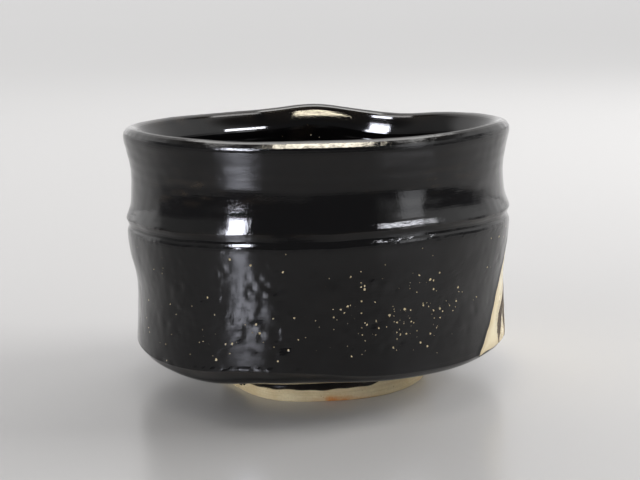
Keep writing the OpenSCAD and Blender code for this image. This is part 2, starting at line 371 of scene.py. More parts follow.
def shell(outer, inner, covered, cap=False):
    """Vertices, faces and how many faces are smooth. covered marks the coarse cells that the coat covers,
    and cap closes the last row with a fan round the bowl's middle."""
    rows, cols = outer.shape[:2]
    thin = inner[::STEP, ::STEP]
    coarse_cols = thin.shape[1]
    middles = [outer[-1].mean(0), thin[-1].mean(0)]
    vertices = np.concatenate([outer.reshape(-1, 3), thin.reshape(-1, 3), middles])
    first_inner = rows * cols
    fine = np.repeat(np.repeat(covered, STEP, 0), STEP, 1)
    i, j = np.nonzero(fine)
    k = (j + 1) % cols
    smooth = np.stack([i * cols + j, i * cols + k, (i + 1) * cols + k, (i + 1) * cols + j], 1).tolist()
    hidden = []
    if cap:
        top, under = len(vertices) - 2, len(vertices) - 1
        smooth += [[(rows - 1) * cols + s, (rows - 1) * cols + (s + 1) % cols, top] for s in range(cols)]
        last = first_inner + (len(thin) - 1) * coarse_cols
        hidden += [[last + (s + 1) % coarse_cols, last + s, under] for s in range(coarse_cols)]
    for m, n in zip(*np.nonzero(covered)):
        n2 = (n + 1) % coarse_cols
        a, b = first_inner + m * coarse_cols + n, first_inner + m * coarse_cols + n2
        d, c = a + coarse_cols, b + coarse_cols
        hidden.append([a, d, c, b])
        low, high = m * STEP, (m + 1) * STEP
        along = [(n * STEP + s) % cols for s in range(STEP + 1)]
        if m == 0 or not covered[m - 1, n]:
            hidden.append([a, b] + [low * cols + s for s in reversed(along)])
        if not cap and m + 1 == len(covered) or m + 1 < len(covered) and not covered[m + 1, n]:
            hidden.append([c, d] + [high * cols + s for s in along])
        if not covered[m, n - 1]:
            hidden.append([d, a] + [s * cols + along[0] for s in range(low, high + 1)])
        if not covered[m, n2]:
            hidden.append([b, c] + [s * cols + along[-1] for s in range(high, low - 1, -1)])
    faces = [[int(v) for v in face] for face in smooth + hidden]
    return vertices, faces, len(smooth)


def slab(outer, inner):
    """A small closed piece from two grids of the same size, such as a panel or a brush stroke."""
    rows, cols = outer.shape[:2]
    under = rows * cols
    cells = [(i * cols + j, (i + 1) * cols + j) for i in range(rows - 1) for j in range(cols - 1)]
    smooth = [[a, a + 1, d + 1, d] for a, d in cells]
    hidden = [[under + v for v in reversed(face)] for face in smooth]
    rim = list(range(cols)) + [i * cols + cols - 1 for i in range(1, rows)]
    rim += [(rows - 1) * cols + j for j in range(cols - 2, -1, -1)]
    rim += [i * cols for i in range(rows - 2, 0, -1)]
    hidden += [[b, a, a + under, b + under] for a, b in zip(rim, rim[1:] + rim[:1])]
    return np.concatenate([outer.reshape(-1, 3), inner.reshape(-1, 3)]), smooth + hidden, len(smooth)


def lathe(grid, ring=False):
    """A closed turned piece. A ring joins its last row to its first. A solid one has a fan at each end."""
    rows, cols = grid.shape[:2]
    ends = [] if ring else [grid[0].mean(0), grid[-1].mean(0)]
    vertices = np.concatenate([grid.reshape(-1, 3)] + [np.array(ends)] * (not ring))
    faces = []
    for i in range(rows if ring else rows - 1):
        low, high = i * cols, (i + 1) % rows * cols
        faces += [[low + j, low + (j + 1) % cols, high + (j + 1) % cols, high + j] for j in range(cols)]
    if not ring:
        faces += [[(j + 1) % cols, j, rows * cols] for j in range(cols)]
        top = (rows - 1) * cols
        faces += [[top + j, top + (j + 1) % cols, rows * cols + 1] for j in range(cols)]
    return vertices, faces, len(faces)


def make_piece(name, vertices, faces, smooth, masks, material, node, slot_name):
    """A mesh in metres that stands for a node of the frame. masks are values at its vertices."""
    mesh = bpy.data.meshes.new(name)
    mesh.from_pydata((np.asarray(vertices) * MM).tolist(), [], faces)
    flat = np.ones(len(mesh.polygons), bool)
    flat[:smooth] = False
    mesh.attributes.new("sharp_face", "BOOLEAN", "FACE").data.foreach_set("value", flat)
    for key, values in masks.items():
        whole = np.zeros(len(mesh.vertices), np.float32)
        whole[: values.size] = values.ravel()
        mesh.attributes.new(key, "FLOAT", "POINT").data.foreach_set("value", whole)
    piece = bpy.data.objects.new(name, mesh)
    mesh.materials.append(material)
    bpy.context.scene.collection.objects.link(piece)
    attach(piece, "root")
    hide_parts(node)
    print(f"{name}: {len(mesh.vertices)} points, {len(mesh.polygons)} faces")


# %% [markdown]
# ## Materials: small helpers
# Every finish is a node tree. These helpers add a node, set or link its inputs by name, and give back the
# output that the next node needs, so that a tree reads from the inside out.

# %% Node helpers
def put(tree, value, socket):
    """Links an output to a socket, or sets the socket to a number or a colour."""
    if isinstance(value, bpy.types.NodeSocket):
        tree.links.new(value, socket)
    else:
        socket.default_value = value


def add(tree, kind, settings=None, **inputs):
    node = tree.nodes.new(kind)
    for key, value in (settings or {}).items():
        setattr(node, key, value)
    for key, value in inputs.items():
        put(tree, value, node.inputs[key.replace("_", " ")])
    return node


def maths(tree, operation, a, b):
    node = tree.nodes.new("ShaderNodeMath")
    node.operation = operation
    put(tree, a, node.inputs[0])
    put(tree, b, node.inputs[1])
    return node.outputs[0]


def times(tree, a, b):
    return maths(tree, "MULTIPLY", a, b)


def plus(tree, a, b):
    return maths(tree, "ADD", a, b)


def span(tree, value, low, high, to_low=0.0, to_high=1.0):
    """Turns the span low to high of a value smoothly into another span."""
    settings = {"interpolation_type": "SMOOTHSTEP"}
    names = {"From_Min": low, "From_Max": high, "To_Min": to_low, "To_Max": to_high}
    return add(tree, "ShaderNodeMapRange", settings, Value=value, **names).outputs["Result"]


def blend(tree, share, colour_a, colour_b):
    """Mixes two colours. The colour sockets of the node are its seventh and eighth."""
    node = tree.nodes.new("ShaderNodeMix")
    node.data_type = "RGBA"
    for number, value in ((0, share), (6, colour_a), (7, colour_b)):
        put(tree, (*value, 1) if isinstance(value, tuple) else value, node.inputs[number])
    return node.outputs[2]


def mask(tree, name):
    return add(tree, "ShaderNodeAttribute", {"attribute_name": name}).outputs["Fac"]


def new_material(name, colour, roughness, ior):
    material = bpy.data.materials.new(name)
    material.use_nodes = True
    material.diffuse_color = (*colour, 1)
    shader = material.node_tree.nodes["Principled BSDF"]
    shader.inputs["Base Color"].default_value = (*colour, 1)
    shader.inputs["Roughness"].default_value = roughness
    shader.inputs["IOR"].default_value = ior
    return material, material.node_tree, shader


def finish_with(tree, shader, colour, roughness, height):
    """Links colour and roughness, and a height in millimetres through a Bump node."""
    tree.links.new(colour, shader.inputs["Base Color"])
    tree.links.new(roughness, shader.inputs["Roughness"])
    bump_node = add(tree, "ShaderNodeBump", Strength=1.0, Distance=MM, Height=height)
    tree.links.new(bump_node.outputs["Normal"], shader.inputs["Normal"])


# %% [markdown]
# ## Two effects that several finishes share
# Pinholes are where gas left the glaze and the pale body shows: a few tiny spots, gathered where the glaze
# is thin. Grain is the faint unevenness that every fired surface has. Each is built once as a group, and
# each finish sets its own sizes.

# %% Pinhole and grain groups
def new_group(name, inputs, outputs):
    group = bpy.data.node_groups.new(name, "ShaderNodeTree")
    for label, value in inputs.items():
        socket = group.interface.new_socket(label, in_out="INPUT", socket_type="NodeSocketFloat")
        socket.default_value = value
    for label in outputs:
        group.interface.new_socket(label, in_out="OUTPUT", socket_type="NodeSocketFloat")
    start, end = group.nodes.new("NodeGroupInput"), group.nodes.new("NodeGroupOutput")
    return group, start.outputs, end.inputs


def place_mm(tree, stretch=(1, 1, 1)):
    """The place on the piece, in millimetres."""
    place = add(tree, "ShaderNodeTexCoord").outputs["Object"]
    scaled = add(tree, "ShaderNodeMapping", Vector=place, Scale=tuple(s / MM for s in stretch))
    return scaled.outputs["Vector"]


pinholes, given, made = new_group(
    "pinholes", {"Spacing": 1.6, "Radius": 0.25, "Density": 0.1}, ["Spot", "Depth"]
)
place = place_mm(pinholes)
shake = add(pinholes, "ShaderNodeTexNoise", Vector=place, Scale=2.6, Detail=2.0)
off_round = add(
    pinholes, "ShaderNodeVectorMath", {"operation": "SCALE"}, Vector=shake.outputs["Color"], Scale=0.5
)
shaken = add(pinholes, "ShaderNodeVectorMath", {"operation": "ADD"})
put(pinholes, place, shaken.inputs[0])
put(pinholes, off_round.outputs[0], shaken.inputs[1])
per_spacing = maths(pinholes, "DIVIDE", 1.0, given["Spacing"])
cells = add(pinholes, "ShaderNodeTexVoronoi", Vector=shaken.outputs[0], Scale=per_spacing)
chance = add(pinholes, "ShaderNodeSeparateColor", Color=cells.outputs["Color"])
distance = times(pinholes, cells.outputs["Distance"], given["Spacing"])
skewed = times(pinholes, 1.3, maths(pinholes, "POWER", chance.outputs["Green"], 2.5))
size = times(pinholes, given["Radius"], plus(pinholes, 0.4, skewed))
outside_it = span(pinholes, maths(pinholes, "DIVIDE", distance, size), 0.75, 1.1)
inside_it = maths(pinholes, "SUBTRACT", 1.0, outside_it)
chosen = maths(pinholes, "LESS_THAN", chance.outputs["Red"], given["Density"])
spot = times(pinholes, inside_it, chosen)
put(pinholes, spot, made["Spot"])
put(pinholes, times(pinholes, spot, -0.05), made["Depth"])

grain, given, made = new_group("grain", {"Size": 1.0, "Depth": 0.01, "Rough": 0.5}, ["Height", "Tint"])
place = place_mm(grain)
lumps = add(
    grain, "ShaderNodeTexNoise", Vector=place, Detail=3.0, Roughness=given["Rough"],
    Scale=maths(grain, "DIVIDE", 0.5, given["Size"]),
)
tint = span(grain, lumps.outputs["Fac"], 0.3, 0.7)
put(grain, times(grain, lumps.outputs["Fac"], given["Depth"]), made["Height"])
put(grain, tint, made["Tint"])
print("groups:", [g.name for g in bpy.data.node_groups])


def use_group(tree, group, **inputs):
    return add(tree, "ShaderNodeGroup", {"node_tree": group}, **inputs).outputs


# %% [markdown]
# ## The black glaze
# Iron glaze fired black is nearly a mirror where it is thick. Where it runs thin, over the lip and the
# ridge, it breaks to amber brown, and on the lower wall it is a little drier and full of pinholes. Four
# masks on the mesh say where: thin, dry, pinholes with painted glints along the front-left corner, and grit
# for the fine grains that sparkle on the edges.

# %% Black glaze
def black_glaze():
    material, tree, shader = new_material("black_glaze", (0.003, 0.003, 0.003), 0.08, 1.41)
    dry = mask(tree, "dry")
    broad = use_group(tree, grain, Size=5.0, Depth=0.03, Rough=0.5)
    fine = use_group(tree, grain, Size=0.3, Depth=0.012, Rough=0.6)
    grit = times(tree, fine["Height"], plus(tree, 0.5, times(tree, mask(tree, "grit"), 14.0)))
    dots = use_group(tree, pinholes, Spacing=1.0, Radius=0.25, Density=mask(tree, "specks"))
    amber = times(tree, mask(tree, "thin"), span(tree, fine["Tint"], 0.1, 0.9, 0.35, 1.0))
    colour = blend(tree, amber, (0.0032, 0.003, 0.0032), (0.062, 0.045, 0.030))
    # pale pinhole spots; along the front-left corner edge the same spots are painted glints
    colour = blend(tree, dots["Spot"], colour, (0.60, 0.50, 0.30))
    sheen = plus(tree, span(tree, dry, 0.0, 1.0, 0.05, 0.12), times(tree, broad["Tint"], 0.03))
    roughness = plus(tree, sheen, times(tree, dots["Spot"], 0.3))
    height = plus(tree, broad["Height"], plus(tree, grit, dots["Depth"]))
    finish_with(tree, shader, colour, roughness, height)
    return material


glossy_black = black_glaze()

# %% [markdown]
# ## The outside coat
# The outside coat runs from the foot over the underside, the wall and the lip to a little way down the
# inside. It was poured, so its lower edge on the foot is wavy, and fingers that held the foot while it was
# dipped left two places bare. First the rows: close together where the edge rolls down to the clay.

# %% Rows and columns of the outside coat
SKIRT_ROWS, WALL_ROWS, NECK_ROWS = 40, 50, 60
ROLL_STEPS, SKIRT_START = np.array([0, 0.1, 0.28, 0.55, 0.95]), 1.4


def glaze_end(a):
    """Where the glaze ends, as a length along the outline."""
    edge = 3.65 - 1.8 * bump(a, -152, 20) + 0.15 * wave(a, 13, 30) + 0.12 * wave(a, 29, 0)
    fingers = 9 * bump(a, -29, 21) + 6.5 * bump(a, 138, 13)
    return edge + fingers - 0.9


even_columns = column_angle(np.arange(COLUMNS))
column = np.broadcast_to(even_columns, (SKIRT_ROWS + WALL_ROWS + NECK_ROWS + 1, COLUMNS))
end = glaze_end(even_columns)
corner_at, ledge_at, join_at = length_to(CORNER), length_to(LEDGE), length_to(JOIN)
skirt_start = end + SKIRT_START
skirt_share = np.linspace(0, 1, SKIRT_ROWS + 1 - len(ROLL_STEPS))[:, None]
length = np.concatenate([
    end + ROLL_STEPS[:, None],
    skirt_start + (corner_at - skirt_start) * skirt_share,
    np.repeat(np.linspace(corner_at, ledge_at, WALL_ROWS + 1)[1:, None], COLUMNS, 1),
    np.repeat(np.linspace(ledge_at, join_at, NECK_ROWS + 1)[1:, None], COLUMNS, 1),
])


MM_A_DEGREE = 1.02


def beside_window(column, length):
    """Distance in millimetres from the window's border, and 0 inside the window."""
    a = (column - window_left + 180) % 360 - 180
    width = window_right - window_left
    beside = np.maximum(np.maximum(-a, a - width), 0) * MM_A_DEGREE
    level = np.maximum(np.maximum(corner_at - length, length - ledge_at), 0)
    return np.hypot(beside, level)


left_wobble = 0.35 * np.sin(length / 2.3 + 1) + 0.2 * np.sin(length / 0.9)
near_left = bump(column, window_left, 3.5)
near_right = bump(column, window_right, 3.5)
column = column + left_wobble * (near_left - near_right)
near_level = hill(length, corner_at, 3) - 0.6 * hill(length, ledge_at, 1.4)
over_window = between(column, window_left, window_right, 8)
length = length + (0.5 * wave(column, 17, 10) + 0.25 * wave(column, 41, 80)) * near_level * over_window
t = row_at(length)
base, a = surface(t, column)
facing = normals(base)
print("outside grid:", base.shape, "lowest edge", base[0, :, 2].min().round(2), "mm")

# %% [markdown]
# ## Relief of the outside coat
# The relief is added square to the wall: soft hollows everywhere, pebbly dents on the lower wall, faint
# throwing rings on the neck, and a rolled edge where the coat ends on the foot and beside the window.

# %% Add the relief
z = base[..., 2]
lower_wall = between(length, corner_at, ledge_at, 4)
neck = between(t, WAIST - 0.3, WAIST + 2, 0.8)
relief = 0.10 * soft_noise(base, 16, 1) + 0.035 * soft_noise(base, 6, 2) * (0.3 + lower_wall)
relief += lower_wall * 0.014 * soft_noise(base, 2.2, 3)
relief += neck * 0.02 * np.sin(2 * math.pi * (z + 0.8 * soft_noise(base, 30, 4)) / 3.4)
relief += 0.012 * soft_noise(base, 2.6, 5) * between(t, GROOVE, CREST, 1)
knobbly = hill(t, LEDGE, np.where(t < LEDGE, 0.12, 0.5)) + 0.6 * hill(t, RIDGE, 0.5)
knobbly = knobbly * (0.35 + 0.65 * between(a, -128, -40, 20))
relief += 0.07 * knobbly * soft_noise(base, 1.4, 6)
relief += 0.02 * hill(t, CREST - 3, 1.2) * soft_noise(base, 2.2, 7)

# Each row: seed, how many, from and to direction, heights, widths, shares of the depth, and the depth
DENTS = [
    (11, 620, (-180, 180), (16, 47), (0.7, 1.7), (0.2, 1), 0.05),
    (12, 340, (-136, -98), (15, 47), (0.5, 1.3), (-0.7, 1), 0.15),
    (13, 380, (-86, -44), (15, 44), (0.5, 1.2), (-0.8, 0.8), 0.1),
]
pebbles = 0
for seed, count, directions, heights, width_range, share_range, deep in DENTS:
    places, random = scatter(seed, count, directions, heights)
    widths = random.uniform(*width_range, count)
    pebbles = pebbles + dents(base, places, widths, random.uniform(*share_range, count) * deep * widths)
relief -= pebbles * lower_wall * ease((z - 14) / 12)
relief += 0.15 * hill(length, corner_at + 1.2, 0.7) * bump(a, -120, 24) * (1 + 0.8 * soft_noise(base, 2.0, 8))

from_end = length - end
rolled = np.sqrt(1 - (1 - np.clip(from_end, 0, 1)) ** 2)
relief += 0.16 * hill(from_end, 1.8, 1.3) - (glaze_t + 0.1) * (1 - rolled)
from_window = beside_window(even_columns[None], length)
relief += 0.2 * hill(from_window, 0, 1.8) * between(t, 4.6, LEDGE + 0.4, 0.4)
on_border = np.zeros(t.shape, bool)
on_border[SKIRT_ROWS : SKIRT_ROWS + WALL_ROWS + 1, [0, WINDOW_COLUMNS]] = True
on_border[[SKIRT_ROWS, SKIRT_ROWS + WALL_ROWS], : WINDOW_COLUMNS + 1] = True
BORDER_SUNK = 0.08
relief = np.where(on_border, -BORDER_SUNK, relief)
outer = base + relief[..., None] * facing
inner = base - glaze_t * facing
print("relief from", relief.min().round(2), "to", relief.max().round(2), "mm")

# %% [markdown]
# ## Masks of the outside coat
# The masks are values from 0 to 1 at each point. They are worked out from the section and from named
# directions, so the finish follows the form: brown on the lip, ridge and corner, pinholes in a loose
# cluster low on the front right, and a line of pale spots along the front-left corner edge that are
# painted glints.

# %% Masks, and the outside piece
def cluster(at_a, at_z, wide, high):
    return bump(a, at_a, wide) * hill(z, at_z, high)


streaks = soft_noise(np.stack([base[..., 0] / 6, base[..., 1] / 6, z], -1), 1.1, 21)
thin = 0.55 * hill(t, CREST, 1.8) + 0.15 * hill(t, RIDGE, 0.35) + 0.3 * hill(t, CORNER, 0.25)
thin += 0.5 * hill(from_end, 0, 1.2)
thin += ease(streaks) * (0.5 * cluster(-128, 66, 16, 3.5) + 0.4 * cluster(-50, 69, 12, 3) + 0.08 * neck)
thin *= 0.65 + 0.35 * soft_noise(base, 4, 22)
dry = lower_wall * (0.75 + 0.25 * soft_noise(base, 12, 23)) + 0.5 * between(t, 0, 5.5, 0.4) + 0.7 * neck
specks = cluster(-64, 31, 17, 9) * 0.5 + cluster(-53, 33, 6, 3.5) * 0.4 + 0.16 * cluster(-108, 25, 26, 7)
specks += 0.03 * lower_wall + 0.08 * cluster(60, 28, 60, 12) + 0.15 * cluster(150, 30, 30, 10)
specks *= (0.7 + 0.7 * soft_noise(base, 4, 24)) * lower_wall
# painted glints: pale spots packed along the front-left corner edge stand in for that edge's highlight
# sparkles
specks += 0.5 * hill(t, CORNER, 0.12) * between(a, -150, -95, 20)
grit = between(t, GROOVE - 1, WAIST + 1, 1) * (0.12 + 0.3 * between(a, -128, -100, 10))
grit += 0.25 * between(t, CREST - 5, CREST, 1)
grit += 0.9 * hill(t, LEDGE + 0.3, 0.25) * between(a, -112, -40, 10)
grit += 0.8 * hill(t, CORNER + 0.25, 0.25) * bump(a, -122, 26)
masks = {"thin": thin, "dry": dry, "specks": specks, "grit": grit}
masks = {name: np.clip(values, 0, 1) for name, values in masks.items()}

covered = np.ones(((len(base) - 1) // STEP, COLUMNS // STEP), bool)
window_rows = slice(SKIRT_ROWS // STEP, (SKIRT_ROWS + WALL_ROWS) // STEP)
covered[window_rows, : WINDOW_COLUMNS // STEP] = False
make_piece(
    "black_glaze_coat_outside", *shell(outer, inner, covered), masks, glossy_black,
    "black_glaze_outside", "black_glaze",
)

# %% [markdown]
# ## The inside coat
# The inside coat begins where the outside one ends, a little below the lip, and runs down the wall and
# over the floor, where the glaze pooled. Faint rings from throwing show under it.

# %% Inside coat
INNER_COLUMNS, INNER_ROWS = 400, 110
inner_rows = row_at(np.linspace(join_at, length_table[-1], INNER_ROWS + 1))
inner_columns = np.arange(INNER_COLUMNS) * 360 / INNER_COLUMNS
t_inside, column_inside = np.meshgrid(inner_rows, inner_columns, indexing="ij")
base_inside = surface(t_inside, column_inside)[0]
facing_inside = normals(base_inside)
facing_inside[-1] = (0, 0, 1)
turned = length_to(t_inside) + 0.8 * soft_noise(base_inside, 30, 31)
shared = 0.10 * soft_noise(base_inside, 16, 1)
relief_inside = shared + 0.02 * soft_noise(base_inside, 5, 32)
relief_inside += 0.035 * np.sin(2 * math.pi * turned / 5.2) * between(t_inside, JOIN + 0.6, LAST - 1, 1)
meets = hill(t_inside, JOIN, 0.5)
relief_inside = relief_inside * (1 - meets) + shared * meets
masks_inside = {
    "thin": 0.1 * ease(soft_noise(base_inside, 6, 33)),
    "dry": 0.12 + 0.1 * soft_noise(base_inside, 9, 34) + 0.25 * between(t_inside, LAST - 2.5, LAST, 1),
    "specks": 0.012 + 0 * t_inside,
}
all_covered = np.ones((INNER_ROWS // STEP, INNER_COLUMNS // STEP), bool)
skin_inside = base_inside + relief_inside[..., None] * facing_inside
inside_shell = shell(skin_inside, base_inside - glaze_t * facing_inside, all_covered, cap=True)
make_piece(
    "black_glaze_coat_inside", *inside_shell, masks_inside, glossy_black,
    "black_glaze_inside", "black_glaze",
)

# %% [markdown]
# ## The cream window
# The window is a second glaze, poured where the black was kept off. It lies a hair lower than the black
# coat, whose swollen edge laps over it. It is a closed panel of its own, cut from the same outline, and
# reaches a millimetre under the black all round. A mask holds the brown halo that iron leaves round a
# stroke, so the strokes are laid out first.

# %% Lay out the brush strokes
# Each stroke is a line of points across (0 left, 1 right) and up (0 corner, 1 top) the window, each with
# the brush's width there in millimetres.
BRUSH_STROKES = {
    "reed_left_fork": [
        (0.168, 0.01, 0.3), (0.148, 0.09, 3.2), (0.132, 0.2, 6.6),
        (0.148, 0.31, 6.0), (0.182, 0.43, 3.2), (0.215, 0.56, 0.3),
    ],
    "reed_right_fork": [
        (0.275, 0.0, 0.3), (0.255, 0.09, 2.8), (0.222, 0.2, 5.2),
        (0.205, 0.31, 4.8), (0.202, 0.42, 2.6), (0.208, 0.52, 0.3),
    ],
    "long_reed": [
        (0.275, 0.24, 0.3), (0.282, 0.32, 1.3), (0.29, 0.5, 2.1),
        (0.292, 0.75, 1.9), (0.275, 0.95, 0.5),
    ],
    "short_reed": [
        (0.47, 0.05, 0.3), (0.462, 0.14, 2.0), (0.45, 0.26, 2.6),
        (0.432, 0.4, 1.7), (0.42, 0.53, 0.3),
    ],
    "tall_reed": [
        (0.655, 0.3, 0.3), (0.66, 0.38, 1.5), (0.672, 0.55, 2.4),
        (0.69, 0.78, 1.8), (0.72, 0.96, 0.4),
    ],
    "right_reed": [
        (0.905, 0.1, 0.3), (0.895, 0.18, 1.7), (0.88, 0.34, 2.5),
        (0.872, 0.55, 1.8), (0.876, 0.78, 0.4),
    ],
}
ALONG, ACROSS = 46, 9
stroke_lines = {}
for name, line in BRUSH_STROKES.items():
    knots = np.repeat(np.array(line, float)[:, :, None], ALONG, 2)
    where = follow(knots, np.linspace(0, len(line) - 1, ALONG))
    stroke_lines[name] = where
    print(name, "is", f"{(where[1].max() - where[1].min()) * (ledge_at - corner_at):.0f} mm long")

# %% [markdown]
# ## The panel and its halo
# The halo fades over two or three millimetres round each stroke. It is found as the distance from each
# point of the panel to the nearest stroke.

# %% Cream window piece
PANEL_COLUMNS, PANEL_ROWS = 112, 60
WINDOW_WIDE, WINDOW_HIGH = 70, 36


def window_surface(across, up):
    """Points on the wall, from shares across and up the window."""
    columns_here = window_left + (window_right - window_left) * across
    return surface(row_at(corner_at + (ledge_at - corner_at) * up), columns_here)[0]


up_share, across_share = np.meshgrid(
    np.linspace(-0.03, 1.03, PANEL_ROWS), np.linspace(-0.016, 1.016, PANEL_COLUMNS), indexing="ij"
)
panel = window_surface(across_share, up_share)
panel_facing = normals(panel, closed=False)
halo = np.zeros(panel.shape[:2])
for where in stroke_lines.values():
    line_points = window_surface(where[0][None], where[1][None])
    for point, width in zip(line_points[0], where[2]):
        near = np.linalg.norm(panel - point, axis=-1) - width / 2
        halo = np.maximum(halo, hill(np.maximum(near, 0), 0, 1.5))


def cream_relief(points):
    small = 0.025 * soft_noise(points, 5, 41)
    return 0.10 * soft_noise(points, 16, 1) + small + 0.008 * soft_noise(points, 2, 42)


CREAM_SUNK = 0.03
panel_outer = panel + (cream_relief(panel) - CREAM_SUNK)[..., None] * panel_facing
from_sides = np.minimum(across_share, 1 - across_share) * WINDOW_WIDE
from_ends = np.minimum(up_share, 1 - up_share) * WINDOW_HIGH
edge_run = np.minimum(from_sides, from_ends)
panel_masks = {"halo": halo, "edge": hill(np.maximum(edge_run, 0), 0, 2.2)}


def cream_glaze():
    material, tree, shader = new_material("cream_glaze", (0.78, 0.69, 0.46), 0.22, 1.5)
    cloud = use_group(tree, grain, Size=6.0, Depth=0.02, Rough=0.6)
    fine = use_group(tree, grain, Size=0.6, Depth=0.010, Rough=0.6)
    dots = use_group(tree, pinholes, Spacing=2.6, Radius=0.2, Density=0.10)
    colour = blend(tree, cloud["Tint"], (0.82, 0.74, 0.52), (0.76, 0.65, 0.40))
    stain = times(tree, mask(tree, "halo"), span(tree, fine["Tint"], 0.0, 1.0, 0.25, 0.6))
    colour = blend(tree, stain, colour, (0.42, 0.33, 0.21))
    colour = blend(tree, times(tree, mask(tree, "edge"), 0.55), colour, (0.48, 0.34, 0.17))
    colour = blend(tree, dots["Spot"], colour, (0.22, 0.15, 0.09))
    roughness = span(tree, cloud["Tint"], 0.0, 1.0, 0.16, 0.28)
    finish_with(tree, shader, colour, roughness, plus(tree, fine["Height"], cloud["Height"]))
    return material


make_piece(
    "cream_window", *slab(panel_outer, panel - glaze_t * panel_facing), panel_masks, cream_glaze(),
    "cream_glaze_window", "cream_glaze",
)

# %% [markdown]
# ## The brush strokes
# A stroke is a thin ribbon that follows the wall, a twentieth of a millimetre proud in its middle and sunk
# at its edges, so that its outline is the line where it dips under the cream. The brush leaves streaks
# along the stroke, which the finish draws from two masks, along and across.

# %% Brushwork piece
def brush_ribbon(where, number):
    """The closed ribbon of one stroke, and how far along and across it each point is."""
    side = np.linspace(-1, 1, ACROSS)[None, :]
    centre, high, width = (value[:, None] for value in where)
    slope = np.gradient(high[:, 0]) * (ledge_at - corner_at)
    drift = np.gradient(centre[:, 0]) * WINDOW_WIDE
    square = slope / np.maximum(np.hypot(slope, drift), 1e-6)
    step = np.arange(ALONG)
    ragged = 1 + 0.16 * np.sin(step * 0.9 + number * 2) * np.sin(step * 0.37 + number)
    half = width * (ragged * square)[:, None] / 2
    across = centre + side * half / WINDOW_WIDE
    level = high - side * half * (drift / np.maximum(slope, 1e-6))[:, None] * 0.6 / WINDOW_HIGH
    points = window_surface(across, np.clip(level, -0.02, 1.02))
    facing_here = normals(points, closed=False)
    proud = 0.05 + 0.012 * number - 0.13 * np.abs(side) ** 3 + cream_relief(points) - CREAM_SUNK
    ribbon = slab(points + proud[..., None] * facing_here, points - 0.5 * facing_here)
    run = np.linspace(0, 1, ALONG)[:, None] + 0 * side
    return ribbon, run + number, side + 0 * run


vertices, smooth_faces, wall_faces, run_mask, side_mask = [], [], [], [], []
for number, where in enumerate(stroke_lines.values()):
    (points, ribbon_faces, smooth), run, across = brush_ribbon(where, number)
    offset = len(vertices) * len(points)
    vertices.append(points)
    moved = [[v + offset for v in face] for face in ribbon_faces]
    smooth_faces += moved[:smooth]
    wall_faces += moved[smooth:]
    run_mask += [run.ravel(), 0 * run.ravel()]
    side_mask += [across.ravel(), 0 * across.ravel()]
stroke_masks = {"along": np.concatenate(run_mask), "across": np.concatenate(side_mask)}


def iron_pigment():
    material, tree, shader = new_material("iron_pigment", (0.10, 0.08, 0.06), 0.5, 1.15)
    brush = add(tree, "ShaderNodeCombineXYZ", X=times(tree, mask(tree, "across"), 3.2), Y=mask(tree, "along"))
    hairs = add(tree, "ShaderNodeTexNoise", Vector=brush.outputs[0], Scale=1.6, Detail=4.0, Roughness=0.65)
    streak = span(tree, hairs.outputs["Fac"], 0.35, 0.68)
    fine = use_group(tree, grain, Size=0.5, Depth=0.012, Rough=0.6)
    colour = blend(tree, streak, (0.045, 0.036, 0.031), (0.15, 0.115, 0.085))
    colour = blend(tree, span(tree, fine["Tint"], 0.6, 1.0, 0.0, 0.3), colour, (0.34, 0.27, 0.18))
    finish_with(tree, shader, colour, span(tree, streak, 0.0, 1.0, 0.6, 0.5), fine["Height"])
    return material


make_piece(
    "brush_strokes", np.concatenate(vertices), smooth_faces + wall_faces, len(smooth_faces), stroke_masks,
    iron_pigment(), "iron_brushwork", "iron_pigment",
)

# %% [markdown]
# ## The foot ring
# The foot was turned on the wheel with a bamboo tool when the clay was leather hard. That leaves an outline
# that isn't quite round, fine lines that run a little downhill, torn grains, and a rubbed edge where it
# stands.
#
# It is bare clay, so its finish comes first: a cloudy tone, lines that follow the turning, grains of sand
# as pinholes of another size, and an orange scorch where a flame touched the front. The scorch is a mask.

# %% Clay finish
def bare_clay():
    material, tree, shader = new_material("bare_clay", (0.66, 0.56, 0.36), 0.85, 1.45)
    cloud = use_group(tree, grain, Size=4.0, Depth=0.02, Rough=0.6)
    fine = use_group(tree, grain, Size=0.35, Depth=0.05, Rough=0.75)
    sand = use_group(tree, pinholes, Spacing=0.9, Radius=0.16, Density=0.3)
    lines = add(tree, "ShaderNodeTexNoise", Vector=place_mm(tree, (0.06, 0.06, 1.5)), Scale=1.0, Detail=3.0)
    line = span(tree, lines.outputs["Fac"], 0.42, 0.62)
    colour = blend(tree, cloud["Tint"], (0.74, 0.65, 0.43), (0.66, 0.54, 0.32))
    colour = blend(tree, times(tree, line, 0.35), colour, (0.50, 0.40, 0.24))
    colour = blend(tree, times(tree, fine["Tint"], 0.22), colour, (0.44, 0.35, 0.21))
    colour = blend(tree, times(tree, sand["Spot"], 0.6), colour, (0.34, 0.24, 0.14))
    scorch = times(tree, mask(tree, "scorch"), span(tree, fine["Tint"], 0.0, 1.0, 0.7, 1.0))
    colour = blend(tree, scorch, colour, (0.58, 0.20, 0.025))
    roughness = span(tree, fine["Tint"], 0.0, 1.0, 0.75, 0.92)
    height = plus(tree, fine["Height"], times(tree, line, 0.03))
    finish_with(tree, shader, colour, roughness, plus(tree, height, sand["Depth"]))
    return material


clay = bare_clay()

# %% [markdown]
# ## The ring's shape
# The ring is a closed section, up the recess's wall, across the stand and up the outside, carried round the
# foot. Its edges are rubbed round by half a millimetre. The tool lines, the unevenness and the torn grains
# push its points out from the ring's middle, and the last number of each row says how much.

